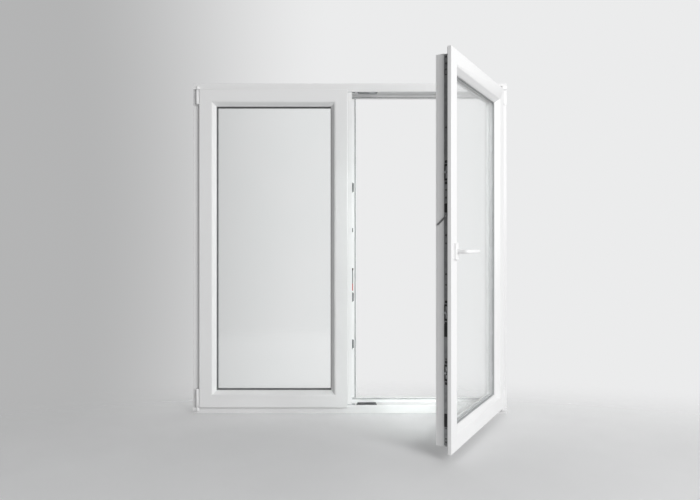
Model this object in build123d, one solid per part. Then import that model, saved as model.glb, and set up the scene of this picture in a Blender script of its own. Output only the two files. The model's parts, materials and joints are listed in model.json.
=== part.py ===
from build123d import *
import os
from math import acos, cos, pi, radians, sin, tan

# Two-leaf uPVC tilt-and-turn window with a floating mullion.
# Row frame: X to the right seen from the room, Y towards the outside, Z up, millimetres.
# The origin is the middle of the frame's bottom face. "depth" counts from the frame's room face.

# ---- overall sizes ----
FRAME_WIDTH = 1500.0
FRAME_HEIGHT = 1580.0
FRAME_DEPTH = 70.0
MEETING_X = -5.0
OPEN_ANGLE = 60.2

# ---- outer frame section ----
REBATE_HEIGHT = 40.0
STOP_HEIGHT = 20.0
STOP_THICKNESS = 16.0
WALL = 3.0
STEEL_WALL = 1.5
STEEL_CLEARANCE = 0.5

# ---- sash section ----
FLANGE_OVERLAP = 8.0
AIR_GAP = 12.0
FLANGE_THICKNESS = 16.0
FLANGE_GAP = 3.0
STOP_GAP = 3.0
FACE_WIDTH = 58.0
BEAD_WIDTH = 20.0
MEETING_GAP = 14.0
LIP_THICKNESS = 15.0
EDGE_RADIUS = 3.0
SMALL_RADIUS = 1.2
CHANNEL_INSETS = (4.5, 14.0)
CHANNEL_WIDTH = 3.0
CHANNEL_DEPTH = 1.4

# ---- hardware groove ----
GROOVE_AXIS = 13.0
FACEPLATE_WIDTH = 16.0
FACEPLATE_THICKNESS = 3.0
ROD_GROOVE_WIDTH = 11.0
ROD_GROOVE_DEPTH = 8.0
ROD_WIDTH = 10.0
ROD_THICKNESS = 2.8
SLIDE_CLEARANCE = 0.3

# ---- glazing ----
PANE_THICKNESS = 4.0
PANE_CAVITY = 16.0
GLASS_EDGE_CLEARANCE = 5.0
SPACER_WIDTH = 7.0
SEALANT_WIDTH = 3.0
GLAZING_GASKET = 3.0
GASKET_LIP = 3.0
GASKET_DEEP = 5.0
BLOCK_LENGTH = 100.0

# ---- floating mullion ----
MULLION_COVER = 20.0
MULLION_END_GAP = 2.0
KEEPER_THICKNESS = 2.0

# ---- locking gear ----
CAM_RADIUS = 3.5
CAM_HEIGHT = 9.0
CAM_HEAD_RADIUS = 4.5
STRIKER_HEIGHT = 8.0
STRIKER_BASE = 2.0
STRIKER_ENTRY = 7.0
MULLION_STRIKER_LENGTH = 48.0
MULLION_STRIKER_RAIL = 14.0
RAIL_STRIKER_LENGTH = 97.0
RAIL_STRIKER_RAIL = 30.0
STRIKER_SCREW_RADIUS = 2.2
GEAR_TEETH = 12
GEAR_MODULE = 11.5 * 2 / 12
GEAR_PRESSURE_ANGLE = 25.0
GEAR_ADDENDUM = 0.8
GEAR_BACKLASH = 0.35
BACKSET = 19.5
SPINDLE_SIDE = 7.0
HANDLE_HEIGHT = 785.0
HANDLE_LENGTH = 132.0
HANDLE_PROJECTION = 58.0
HANDLE_GRIP = 16.0
HANDLE_NECK_RADIUS = 8.5
ROSETTE_WIDTH = 31.0
ROSETTE_HEIGHT = 64.0
ROSETTE_THICKNESS = 10.0
CAM_HEIGHTS = (1082.0, 556.0, 330.0)
CAM_TRAVEL = 18.1
TOP_CAM_X = 84.0
TILT_CAM_X = 80.0
GUARD_LEVER_HEIGHT = 918.0
GUARD_LEVER_LENGTH = 48.0
GUARD_KEEPER_HEIGHT = 878.0
GUARD_KEEPER_LENGTH = 20.0
GUARD_KEEPER_THICKNESS = 5.0
PASSIVE_LEVER_HEIGHT = 690.0
PASSIVE_LEVER_LENGTH = 103.0
PASSIVE_LEVER_THICKNESS = 4.2
PASSIVE_GRIP_LENGTH = 34.0
BOLT_SIZE = 7.0
BOLT_WIDTH = 10.0
BOLT_REST_GAP = 3.0

# ---- hinges ----
HINGE_OFFSET = 9.5
BARREL_RADIUS = 7.2
COVER_RADIUS = 9.0
COVER_CLEARANCE = 0.15
PIN_RADIUS = 3.0
PIN_CLEARANCE = 0.05
CORNER_BARREL_TOP = 120.0
STAY_BARREL_LENGTH = 71.0
TILT_AXIS_RISE = 10.0
LINK_OVERLAP = 0.4
LINK_FACE = -0.6
LINK_THICKNESS = 2.1
STAY_ARM_LENGTH = 390.0
STAY_ARM_TRAVEL = 30.0

# ---- wall fixings and drainage ----
FIXING_RADIUS = 4.0
FIXING_END = 200.0
FIXING_SPACING = 400.0
DRAIN_CAP_WIDTH = 42.0

# ---- worked out from the sizes above ----
STOP_TOP = REBATE_HEIGHT + STOP_HEIGHT
STOP_DEPTH = FRAME_DEPTH - STOP_THICKNESS
SASH_ROOM = -FLANGE_GAP - FLANGE_THICKNESS
SASH_BACK = STOP_DEPTH - STOP_GAP
SASH_EDGE = REBATE_HEIGHT - FLANGE_OVERLAP
OVERLAP = AIR_GAP + FLANGE_OVERLAP
GLASS_LINE = FACE_WIDTH + BEAD_WIDTH
GROOVE_DEPTH = -FLANGE_GAP + GROOVE_AXIS
GROOVE_FLOOR = OVERLAP + FACEPLATE_THICKNESS
ROD_FLOOR = GROOVE_FLOOR + ROD_GROOVE_DEPTH
GLASS_BACK = SASH_BACK - LIP_THICKNESS - GLAZING_GASKET
GLASS_FRONT = GLASS_BACK - 2 * PANE_THICKNESS - PANE_CAVITY
GLASS_EDGE = FACE_WIDTH + GLASS_EDGE_CLEARANCE
SASH_BOTTOM = SASH_EDGE
SASH_TOP = FRAME_HEIGHT - SASH_EDGE
PASSIVE_LEFT = -FRAME_WIDTH / 2 + SASH_EDGE
PASSIVE_RIGHT = MEETING_X - MEETING_GAP / 2
ACTIVE_LEFT = MEETING_X + MEETING_GAP / 2
ACTIVE_RIGHT = FRAME_WIDTH / 2 - SASH_EDGE
HINGE_X = ACTIVE_RIGHT + HINGE_OFFSET
HINGE_DEPTH = -HINGE_OFFSET
MULLION_FACE = ACTIVE_LEFT + FLANGE_OVERLAP
MULLION_BACK = PASSIVE_RIGHT - OVERLAP
MULLION_BOTTOM = STOP_TOP + MULLION_END_GAP
MULLION_TOP = FRAME_HEIGHT - STOP_TOP - MULLION_END_GAP
CAP_BOTTOM = REBATE_HEIGHT + KEEPER_THICKNESS + 0.5
CAP_TOP = FRAME_HEIGHT - CAP_BOTTOM
GEAR_RADIUS = GEAR_MODULE * GEAR_TEETH / 2
SPINDLE_INSET = OVERLAP + BACKSET
SPINDLE_X = ACTIVE_LEFT + SPINDLE_INSET
RACK_PITCH_LINE = SPINDLE_INSET - GEAR_RADIUS
STAY_BARREL_TOP = SASH_TOP - 0.5
STAY_BARREL_BOTTOM = STAY_BARREL_TOP - STAY_BARREL_LENGTH
TILT_AXIS_HEIGHT = SASH_BOTTOM + TILT_AXIS_RISE
LINK_DEPTH = LINK_FACE - LINK_THICKNESS
LUG_DEPTH = min(HINGE_DEPTH + BARREL_RADIUS - LINK_OVERLAP, LINK_DEPTH)
MAIN_CHAMBER = (GROOVE_DEPTH + 9 + WALL, STOP_DEPTH - 4, WALL, REBATE_HEIGHT - WALL)
STEEL_CHAMBER = (-2, SASH_BACK - LIP_THICKNESS - 2, ROD_FLOOR + WALL, FACE_WIDTH - WALL)
BOLT_LEFT = MULLION_FACE - FACEPLATE_THICKNESS - SLIDE_CLEARANCE - BOLT_SIZE
BOLT_REST_BOTTOM = REBATE_HEIGHT + KEEPER_THICKNESS + BOLT_REST_GAP
BOLT_REST_TOP = FRAME_HEIGHT - BOLT_REST_BOTTOM
FIXING_MIDDLE = FRAME_HEIGHT / 2
FIXING_HEIGHTS = (
    FIXING_END,
    FIXING_MIDDLE - FIXING_SPACING / 2,
    FIXING_MIDDLE + FIXING_SPACING / 2,
    FRAME_HEIGHT - FIXING_END,
)
FAR = 5000.0

os.makedirs("parts", exist_ok=True)


# ---- shape helpers ----
def row_y(depth):
    """Row Y of a depth counted from the frame's room face."""
    return depth - FRAME_DEPTH / 2


def block(x0, x1, d0, d1, z0, z1):
    """Box between two corners, with its depths counted from the room face."""
    centre = Pos((x0 + x1) / 2, row_y((d0 + d1) / 2), (z0 + z1) / 2)
    return centre * Box(abs(x1 - x0), abs(d1 - d0), abs(z1 - z0))


def upright(x, depth, z0, z1, radius):
    """Cylinder along Z."""
    return Pos(x, row_y(depth), (z0 + z1) / 2) * Cylinder(radius, abs(z1 - z0))


def crosswise(depth, z, x0, x1, radius):
    """Cylinder along X."""
    turn = Rot(0, 90, 0) * Cylinder(radius, abs(x1 - x0))
    return Pos((x0 + x1) / 2, row_y(depth), z) * turn


def through(x, z, d0, d1, radius):
    """Cylinder along Y."""
    turn = Rot(90, 0, 0) * Cylinder(radius, abs(d1 - d0))
    return Pos(x, row_y((d0 + d1) / 2), z) * turn


def outline(points, holes=(), rounds=()):
    """Section in the YZ plane from (depth, height) points, less (d0, d1, h0, h1) chambers.

    rounds holds (depth, height, radius) for the corners that are rounded.
    """
    face = make_face(Polyline([(row_y(d), h) for d, h in points], close=True))
    for depth, height, radius in rounds:
        spot = Vector(row_y(depth), height, 0)
        corner = face.vertices().sort_by_distance(spot)[0]
        face = fillet(corner, radius)
    for d0, d1, h0, h1 in holes:
        chamber = Rectangle(d1 - d0, h1 - h0)
        face = face - Pos(row_y((d0 + d1) / 2), (h0 + h1) / 2) * chamber
    return face


def long_bar(section, length):
    """Section run along X from 0 to length, its height along Z."""
    return extrude(Plane.YZ * section, amount=length)


def mitred_bar(section, length):
    """Bar along X from 0 to length whose two ends are cut back at 45 degrees."""
    reach = length / 2
    wedge = make_face(Polyline([(0, 0), (length, 0), (length - reach, reach)], close=True))
    prism = extrude(Plane.XZ * wedge, amount=FAR, both=True)
    return long_bar(section, length) & prism


def ring_places(left, right, bottom, top):
    """Placements that carry a bottom bar to each side: bottom, right, top and left."""
    return {
        "bottom": Pos(left, 0, bottom),
        "right": Pos(right, 0, bottom) * Rot(0, -90, 0),
        "top": Pos(right, 0, top) * Rot(0, 180, 0),
        "left": Pos(left, 0, top) * Rot(0, 90, 0),
    }


def mitred_ring(section, left, right, bottom, top):
    """Four mitred bars round a rectangle, by side."""
    wide = mitred_bar(section, right - left)
    tall = mitred_bar(section, top - bottom)
    places = ring_places(left, right, bottom, top)
    bars = {"bottom": wide, "top": wide, "left": tall, "right": tall}
    return {side: places[side] * bars[side] for side in places}


def straight_ring(section, left, right, bottom, top, margin):
    """Four square-cut bars round a rectangle, each held back from the corners by margin."""
    wide = Pos(margin, 0, 0) * long_bar(section, right - left - 2 * margin)
    tall = Pos(margin, 0, 0) * long_bar(section, top - bottom - 2 * margin)
    places = ring_places(left, right, bottom, top)
    bars = {"bottom": wide, "top": wide, "left": tall, "right": tall}
    return {side: places[side] * bars[side] for side in places}


def solids_of(shapes):
    """Every solid in a list of shapes."""
    return [solid for shape in shapes for solid in shape.solids()]


nodes = {}


def keep(name, *shapes):
    """Stores the solids of one node."""
    nodes[name] = solids_of(shapes)


def cut_node(name, *tools):
    """Takes tools away from a stored node."""
    shapes = []
    for solid in nodes[name]:
        for tool in tools:
            solid = solid - tool
        shapes.append(solid)
    nodes[name] = solids_of(shapes)


# ---- outer frame ----
def frame_section():
    points = [(0, 0), (FRAME_DEPTH, 0), (FRAME_DEPTH, STOP_TOP), (STOP_DEPTH, STOP_TOP)]
    points += [(STOP_DEPTH, REBATE_HEIGHT), (0, REBATE_HEIGHT)]
    inner_top = REBATE_HEIGHT - WALL
    chambers = [
        (WALL, GROOVE_DEPTH + 9, WALL, inner_top),
        MAIN_CHAMBER,
        (STOP_DEPTH - 4 + WALL, FRAME_DEPTH - WALL, WALL, inner_top),
        (STOP_DEPTH + 6, FRAME_DEPTH - WALL, REBATE_HEIGHT, STOP_TOP - WALL),
        (STOP_DEPTH - 0.1, STOP_DEPTH + WALL, STOP_TOP - 6, STOP_TOP - 3),
    ]
    rounds = [(0, REBATE_HEIGHT, SMALL_RADIUS), (0, 0, SMALL_RADIUS)]
    rounds += [(STOP_DEPTH, STOP_TOP, SMALL_RADIUS), (FRAME_DEPTH, STOP_TOP, EDGE_RADIUS)]
    return outline(points, chambers, rounds)


def channel_section(d0, d1, h0, h1):
    """Steel channel inside a chamber, open towards the glass side."""
    a, b = d0 + STEEL_CLEARANCE, d1 - STEEL_CLEARANCE
    low, high = h0 + STEEL_CLEARANCE, h1 - STEEL_CLEARANCE
    points = [(a, low), (b, low), (b, high), (b - STEEL_WALL, high)]
    points += [(b - STEEL_WALL, low + STEEL_WALL), (a + STEEL_WALL, low + STEEL_WALL)]
    points += [(a + STEEL_WALL, high), (a, high)]
    return outline(points)


def stop_gasket_section():
    """Gasket of the frame's stop: a foot in the groove, and a bulb towards the sash."""
    reach = STOP_DEPTH - STOP_GAP + SLIDE_CLEARANCE
    foot = STOP_DEPTH + WALL - 0.2
    low, high = STOP_TOP - 5.8, STOP_TOP - 3.2
    points = [(foot, low), (foot, high), (STOP_DEPTH, high), (STOP_DEPTH, STOP_TOP - 1.4)]
    points += [(reach, STOP_TOP - 2.6), (reach, STOP_TOP - 5.6), (STOP_DEPTH, STOP_TOP - 7.4)]
    points += [(STOP_DEPTH, low)]
    return outline(points)


def fixing_holes():
    """Screw holes through both jambs and their steel."""
    half = FRAME_WIDTH / 2
    inner = half - STOP_TOP - 2
    holes = []
    for z in FIXING_HEIGHTS:
        for side in (-1, 1):
            holes.append(crosswise(FRAME_DEPTH / 2, z, side * inner, side * (half + 5), FIXING_RADIUS))
    return holes


def bolt_well(low, high):
    """Pocket in the frame that a shoot bolt enters."""
    reach = BOLT_WIDTH / 2 + 1
    left, right = BOLT_LEFT - 3, BOLT_LEFT + BOLT_SIZE + 3
    return block(left, right, GROOVE_DEPTH - reach, GROOVE_DEPTH + reach, low, high)


def make_frame():
    half = FRAME_WIDTH / 2
    rect = (-half, half, 0, FRAME_HEIGHT)
    bars = mitred_ring(frame_section(), *rect)
    keep("frame_sill", bars["bottom"])
    keep("frame_head", bars["top"])
    keep("frame_jamb_left", bars["left"])
    keep("frame_jamb_right", bars["right"])
    steel = straight_ring(channel_section(*MAIN_CHAMBER), *rect, REBATE_HEIGHT + 5)
    keep("frame_reinforcements", *steel.values())
    for name in ("frame_jamb_left", "frame_jamb_right", "frame_reinforcements"):
        cut_node(name, *fixing_holes())
    keep("frame_stop_gasket", *mitred_ring(stop_gasket_section(), *rect).values())
    well_depth = 18.0
    head_face = FRAME_HEIGHT - REBATE_HEIGHT
    cut_node("frame_sill", bolt_well(REBATE_HEIGHT - well_depth, REBATE_HEIGHT + 1))
    cut_node("frame_head", bolt_well(head_face - 1, head_face + well_depth))


def make_drain_caps():
    """Hoods over the drain slots in the sill's outside face."""
    caps = []
    for x in (-FRAME_WIDTH / 3, 0, FRAME_WIDTH / 3):
        left, right = x - DRAIN_CAP_WIDTH / 2, x + DRAIN_CAP_WIDTH / 2
        base = block(left, right, FRAME_DEPTH, FRAME_DEPTH + 4, 14, 26)
        edges = base.edges().filter_by(Axis.X).group_by(Axis.Y)[-1]
        mouth = block(left + 4, right - 4, FRAME_DEPTH, FRAME_DEPTH + 2, 10, 20)
        caps.append(fillet(edges, 3.0) - mouth)
    keep("drain_caps", *caps)


# ---- sashes ----
def sash_section():
    groove = FACEPLATE_WIDTH / 2
    under = ROD_GROOVE_WIDTH / 2
    points = [(SASH_ROOM, 0), (-FLANGE_GAP, 0), (-FLANGE_GAP, OVERLAP)]
    points += [(GROOVE_DEPTH - groove, OVERLAP), (GROOVE_DEPTH - groove, GROOVE_FLOOR)]
    points += [(GROOVE_DEPTH - under, GROOVE_FLOOR), (GROOVE_DEPTH - under, ROD_FLOOR)]
    points += [(GROOVE_DEPTH + under, ROD_FLOOR), (GROOVE_DEPTH + under, GROOVE_FLOOR)]
    points += [(GROOVE_DEPTH + groove, GROOVE_FLOOR), (GROOVE_DEPTH + groove, OVERLAP)]
    points += [(SASH_BACK, OVERLAP), (SASH_BACK, GLASS_LINE)]
    points += [(SASH_BACK - LIP_THICKNESS, GLASS_LINE)]
    points += [(SASH_BACK - LIP_THICKNESS, FACE_WIDTH), (SASH_ROOM, FACE_WIDTH)]
    chambers = [
        (SASH_ROOM + WALL, -FLANGE_GAP - 5, WALL, FACE_WIDTH - WALL),
        STEEL_CHAMBER,
        (SASH_BACK - LIP_THICKNESS + 1, SASH_BACK - WALL, OVERLAP + WALL, GLASS_LINE - WALL),
        (GROOVE_DEPTH + groove + WALL, SASH_BACK - LIP_THICKNESS - 2, OVERLAP + WALL, ROD_FLOOR),
        (-FLANGE_GAP - WALL, -FLANGE_GAP + 0.1, 3, 6),
    ]
    for inset in CHANNEL_INSETS:
        middle = SASH_BACK - inset
        sides = (middle - CHANNEL_WIDTH / 2, middle + CHANNEL_WIDTH / 2)
        chambers.append((*sides, OVERLAP - 1, OVERLAP + CHANNEL_DEPTH))
    rounds = [(SASH_ROOM, 0, EDGE_RADIUS), (-FLANGE_GAP, 0, SMALL_RADIUS)]
    rounds += [(SASH_BACK, OVERLAP, SMALL_RADIUS), (SASH_BACK, GLASS_LINE, EDGE_RADIUS)]
    rounds += [(SASH_ROOM, FACE_WIDTH, SMALL_RADIUS)]
    return outline(points, chambers, rounds)


def bead_section():
    """Glazing bead with a raking room face, clipped between the sash and the glass."""
    back = GLASS_FRONT - GLAZING_GASKET
    points = [(SASH_ROOM + 1, FACE_WIDTH + 0.2), (back, FACE_WIDTH + 0.2), (back, GLASS_LINE)]
    points += [(back - 3.5, GLASS_LINE), (SASH_ROOM + 1, FACE_WIDTH + 3.5)]
    rounds = [(back - 3.5, GLASS_LINE, 1.5), (SASH_ROOM + 1, FACE_WIDTH + 3.5, 1.5)]
    return outline(points, [], rounds)


def glazing_gasket_section(d0, d1):
    """Gasket beside the glass, whose lip stands past the bead and the sash."""
    low, high = GLASS_LINE - GASKET_DEEP, GLASS_LINE + GASKET_LIP
    return outline([(d0, low), (d1, low), (d1, high), (d0, high)])


def sash_gasket_section():
    """Room-side gasket of the sash: a foot in the flange, and a lip towards the frame."""
    foot = -FLANGE_GAP - WALL + 0.2
    points = [(foot, 3.2), (-FLANGE_GAP, 3.2), (-FLANGE_GAP, 2.2), (-1.2, 3.4), (-1.2, 5.6)]
    points += [(-FLANGE_GAP, 6.8), (-FLANGE_GAP, 5.8), (foot, 5.8)]
    return outline(points)


def pane(left, right, bottom, top, d0):
    inset = GLASS_EDGE
    return block(left + inset, right - inset, d0, d0 + PANE_THICKNESS, bottom + inset, top - inset)


def spacer_section():
    front, back = GLASS_FRONT + PANE_THICKNESS, GLASS_BACK - PANE_THICKNESS
    low = GLASS_EDGE + SEALANT_WIDTH
    points = [(front, low), (back, low), (back, low + SPACER_WIDTH), (front, low + SPACER_WIDTH)]
    return outline(points)


def glazing_blocks(left, right, bottom, top):
    """Setting and location blocks between the glass edge and the sash."""
    d0, d1 = GLASS_FRONT, GLASS_BACK
    low, high = FACE_WIDTH + 0.1, GLASS_EDGE - 0.1
    blocks = []
    for x in (left + GLASS_LINE + 40, right - GLASS_LINE - 40 - BLOCK_LENGTH):
        blocks.append(block(x, x + BLOCK_LENGTH, d0, d1, bottom + low, bottom + high))
        blocks.append(block(x, x + BLOCK_LENGTH, d0, d1, top - high, top - low))
    for z in (bottom + GLASS_LINE + 40, top - GLASS_LINE - 40 - BLOCK_LENGTH):
        blocks.append(block(left + low, left + high, d0, d1, z, z + BLOCK_LENGTH))
        blocks.append(block(right - high, right - low, d0, d1, z, z + BLOCK_LENGTH))
    return blocks


def make_sash(prefix, left, right, stiles):
    """Sash bars, steel, glass, beads, gaskets and blocks of one leaf, in its closed place."""
    bottom, top = SASH_BOTTOM, SASH_TOP
    rect = (left, right, bottom, top)
    bars = mitred_ring(sash_section(), *rect)
    keep(prefix + "_top_rail", bars["top"])
    keep(prefix + "_bottom_rail", bars["bottom"])
    keep(prefix + "_" + stiles["left"], bars["left"])
    keep(prefix + "_" + stiles["right"], bars["right"])
    steel = straight_ring(channel_section(*STEEL_CHAMBER), *rect, FACE_WIDTH + 5)
    keep(prefix + "_reinforcements", *steel.values())
    back_pane = GLASS_BACK - PANE_THICKNESS
    keep(prefix + "_glass_panes", pane(*rect, GLASS_FRONT), pane(*rect, back_pane))
    keep(prefix + "_glass_spacer", *mitred_ring(spacer_section(), *rect).values())
    keep(prefix + "_glazing_beads", *mitred_ring(bead_section(), *rect).values())
    front_section = glazing_gasket_section(GLASS_FRONT - GLAZING_GASKET, GLASS_FRONT)
    back_section = glazing_gasket_section(GLASS_BACK, GLASS_BACK + GLAZING_GASKET)
    seals = []
    for section in (front_section, back_section, sash_gasket_section()):
        seals += mitred_ring(section, *rect).values()
    keep(prefix + "_gaskets", *seals)
    keep(prefix + "_glazing_blocks", *glazing_blocks(*rect))


# ---- strikers and cams ----
def striker(length, rails):
    """Striker lying along X on the plane Z = 0, its room side towards -Y, centred on the entry.

    rails holds the (start, end) of each hooked rail along X.
    """
    half = length / 2
    width = FACEPLATE_WIDTH / 2 + 1
    base = Pos(0, 0, STRIKER_BASE / 2) * Box(length, 2 * width, STRIKER_BASE)
    base = fillet(base.edges().filter_by(Axis.Z), 2.0)
    back = Pos(0, width - 1.5, STRIKER_HEIGHT / 2) * Box(length - 8, 3, STRIKER_HEIGHT)
    shape = base + back
    for start, end in rails:
        rail = Pos((start + end) / 2, -width + 1.5, STRIKER_HEIGHT / 2)
        shape += rail * Box(end - start, 3, STRIKER_HEIGHT)
    for x in (-half + 5, half - 5):
        shape -= Pos(x, 0, STRIKER_BASE / 2) * Cylinder(STRIKER_SCREW_RADIUS, STRIKER_BASE * 2)
    return shape


def lock_rail(length):
    """Rail that a cam runs under on the locked side."""
    return STRIKER_ENTRY, STRIKER_ENTRY + length


def make_frame_strikers():
    """Strikers in the frame's head and sill for the active leaf."""
    y = row_y(GROOVE_DEPTH)
    start, end = lock_rail(RAIL_STRIKER_RAIL)
    over = mirror(striker(RAIL_STRIKER_LENGTH, [(start, end)]), about=Plane.XY)
    keep("frame_strikers", Pos(TOP_CAM_X, y, FRAME_HEIGHT - REBATE_HEIGHT) * over)
    under = striker(RAIL_STRIKER_LENGTH, [(start, end), (-end, -start)])
    keep("tilt_striker", Pos(TILT_CAM_X, y, REBATE_HEIGHT) * under)


def make_bolt_keepers():
    """Plates in head and sill with a hole for each shoot bolt of the passive leaf."""
    plates = []
    low, high = BOLT_LEFT - 2, BOLT_LEFT + BOLT_SIZE + 2
    wide, deep = FACEPLATE_WIDTH / 2 + 1, BOLT_WIDTH / 2
    for z in (REBATE_HEIGHT, FRAME_HEIGHT - REBATE_HEIGHT - KEEPER_THICKNESS):
        top = z + KEEPER_THICKNESS
        plate = block(-30, 24, GROOVE_DEPTH - wide, GROOVE_DEPTH + wide, z, top)
        plate = fillet(plate.edges().filter_by(Axis.Z), 3.0)
        slot = block(low, high, GROOVE_DEPTH - deep, GROOVE_DEPTH + deep, z - 1, top + 1)
        plates.append(plate - slot)
    keep("bolt_keepers", *plates)


def cam(x, z, direction):
    """Mushroom cam that stands out of the sash edge along direction, "x", "top" or "bottom"."""
    out = OVERLAP - CAM_HEIGHT
    head = out + 2.0
    deep = GROOVE_FLOOR + 1.0
    spans = ((out, head, CAM_HEAD_RADIUS), (head, deep, CAM_RADIUS))
    shape = None
    for start, end, radius in spans:
        if direction == "x":
            piece = crosswise(GROOVE_DEPTH, z, ACTIVE_LEFT + start, ACTIVE_LEFT + end, radius)
        elif direction == "top":
            piece = upright(x, GROOVE_DEPTH, SASH_TOP - end, SASH_TOP - start, radius)
        else:
            piece = upright(x, GROOVE_DEPTH, SASH_BOTTOM + start, SASH_BOTTOM + end, radius)
        shape = piece if shape is None else shape + piece
    return shape


# ---- floating mullion and the passive leaf's gear ----
def mullion_sketch():
    """Plan section of the floating mullion, in row X and Y."""
    right = MULLION_FACE
    left = MULLION_BACK + 0.2
    outer_right = right + MULLION_COVER
    outer_left = left - MULLION_COVER
    groove = FACEPLATE_WIDTH / 2
    under = ROD_GROOVE_WIDTH / 2
    floor = right - FACEPLATE_THICKNESS
    deep = floor - ROD_GROOVE_DEPTH
    points = [(left, 0), (right, 0), (right, GROOVE_DEPTH - groove)]
    points += [(floor, GROOVE_DEPTH - groove), (floor, GROOVE_DEPTH - under)]
    points += [(deep, GROOVE_DEPTH - under), (deep, GROOVE_DEPTH + under)]
    points += [(floor, GROOVE_DEPTH + under), (floor, GROOVE_DEPTH + groove)]
    points += [(right, GROOVE_DEPTH + groove), (right, STOP_DEPTH)]
    points += [(outer_right, STOP_DEPTH), (outer_right, FRAME_DEPTH), (outer_left, FRAME_DEPTH)]
    points += [(outer_left, STOP_DEPTH), (left, STOP_DEPTH)]
    face = make_face(Polyline([(x, row_y(d)) for x, d in points], close=True))
    chambers = [
        (left + WALL, deep - WALL, WALL, STOP_DEPTH - WALL),
        (deep, right - WALL, GROOVE_DEPTH + groove + WALL, STOP_DEPTH - WALL),
        (outer_left + 8, outer_right - 8, STOP_DEPTH + WALL, FRAME_DEPTH - WALL),
    ]
    for x0, x1, d0, d1 in chambers:
        hole = Rectangle(x1 - x0, d1 - d0)
        face = face - Pos((x0 + x1) / 2, row_y((d0 + d1) / 2)) * hole
    for x in (outer_right - 4.5, outer_left + 4.5):
        face = face - Pos(x, row_y(STOP_DEPTH + WALL / 2)) * Rectangle(3, WALL)
    return face


def make_mullion_caps():
    """Caps over the mullion's ends, open where the shoot bolts pass."""
    left = MULLION_BACK + 0.2
    under = ROD_GROOVE_WIDTH / 2
    deep = MULLION_FACE - FACEPLATE_THICKNESS - ROD_GROOVE_DEPTH
    caps = []
    for z0, z1 in ((CAP_BOTTOM, MULLION_BOTTOM), (MULLION_TOP, CAP_TOP)):
        cap = block(left, MULLION_FACE, 0, SASH_BACK - SLIDE_CLEARANCE, z0, z1)
        cap = fillet(cap.edges().filter_by(Axis.Z), 0.8)
        sides = (GROOVE_DEPTH - under, GROOVE_DEPTH + under)
        caps.append(cap - block(deep, MULLION_FACE + 1, *sides, z0 - 1, z1 + 1))
    keep("mullion_end_caps", *caps)


def make_mullion_gaskets():
    """Two bulb gaskets in the mullion's outer flanges, one for each leaf."""
    tip = SASH_BACK + SLIDE_CLEARANCE
    inset = 4.5
    left = MULLION_BACK + 0.2 - MULLION_COVER + inset
    right = MULLION_FACE + MULLION_COVER - inset
    seals = []
    for x in (left, right):
        foot_depths = (STOP_DEPTH, STOP_DEPTH + WALL - 0.2)
        foot = block(x - 1.3, x + 1.3, *foot_depths, MULLION_BOTTOM, MULLION_TOP)
        bulb = block(x - 3, x + 3, tip, STOP_DEPTH, MULLION_BOTTOM, MULLION_TOP)
        bulb = chamfer(bulb.edges().filter_by(Axis.Z).group_by(Axis.Y)[0], 1.2)
        seals.append(foot + bulb)
    keep("mullion_gaskets", *seals)


def make_mullion_faceplate():
    """Faceplate in the mullion's groove, with a window for the rebate lever."""
    half = FACEPLATE_WIDTH / 2 - 0.1
    sides = (GROOVE_DEPTH - half, GROOVE_DEPTH + half)
    back = MULLION_FACE - FACEPLATE_THICKNESS
    plate = block(back, MULLION_FACE, *sides, MULLION_BOTTOM + 1, MULLION_TOP - 1)
    z = PASSIVE_LEVER_HEIGHT
    under = ROD_GROOVE_WIDTH / 2
    opening = (GROOVE_DEPTH - under, GROOVE_DEPTH + under, z - 12, z + 12)
    keep("mullion_faceplate", plate - block(back - 1, MULLION_FACE + 1, *opening))


def make_mullion():
    height = MULLION_TOP - MULLION_BOTTOM
    profile = Pos(0, 0, MULLION_BOTTOM) * extrude(mullion_sketch(), amount=height)
    keep("floating_mullion", profile)
    make_mullion_caps()
    make_mullion_gaskets()
    make_mullion_faceplate()


def make_mullion_strikers():
    """Strikers and the guard lever's keeper, which stand on the mullion's faceplate."""
    flat = mirror(striker(MULLION_STRIKER_LENGTH, [lock_rail(MULLION_STRIKER_RAIL)]), about=Plane.XZ)
    standing = Rot(0, 90, 0) * (Rot(0, 0, 180) * flat)
    strikers = [Pos(MULLION_FACE, row_y(GROOVE_DEPTH), z) * standing for z in CAM_HEIGHTS]
    low = GUARD_KEEPER_HEIGHT - GUARD_KEEPER_LENGTH / 2
    high = low + GUARD_KEEPER_LENGTH
    outer = MULLION_FACE + GUARD_KEEPER_THICKNESS
    keeper = block(MULLION_FACE, outer, GROOVE_DEPTH - 7, GROOVE_DEPTH + 7, low, high)
    keeper = fillet(keeper.edges().filter_by(Axis.X), 3.0)
    keep("mullion_strikers", *strikers, keeper)


def make_passive_lever():
    """Folding lever of the gear, hanging down from its pivot, and the red grip on its end."""
    z = PASSIVE_LEVER_HEIGHT
    pivot_x = MULLION_FACE + 2.4
    half = PASSIVE_LEVER_THICKNESS / 2
    left, right = pivot_x - half, pivot_x + half
    low = z - PASSIVE_LEVER_LENGTH
    grip_top = low + PASSIVE_GRIP_LENGTH
    arm_low = low + PASSIVE_GRIP_LENGTH / 2
    arm = block(left, right, GROOVE_DEPTH - 3, GROOVE_DEPTH + 3, arm_low, z)
    hub = through(pivot_x, z, GROOVE_DEPTH - 3, GROOVE_DEPTH + 3, 3.2)
    bore = through(pivot_x, z, GROOVE_DEPTH - 4, GROOVE_DEPTH + 4, 1.55)
    keep("passive_lever", arm + hub - bore)
    grip = block(left, right, GROOVE_DEPTH - 5, GROOVE_DEPTH + 5, low, grip_top)
    grip = fillet(grip.edges().filter_by(Axis.Y), 1.2)
    socket = block(left - 1, right + 1, GROOVE_DEPTH - 3, GROOVE_DEPTH + 3, arm_low, z)
    keep("passive_lever_grip", grip - socket)


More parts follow.
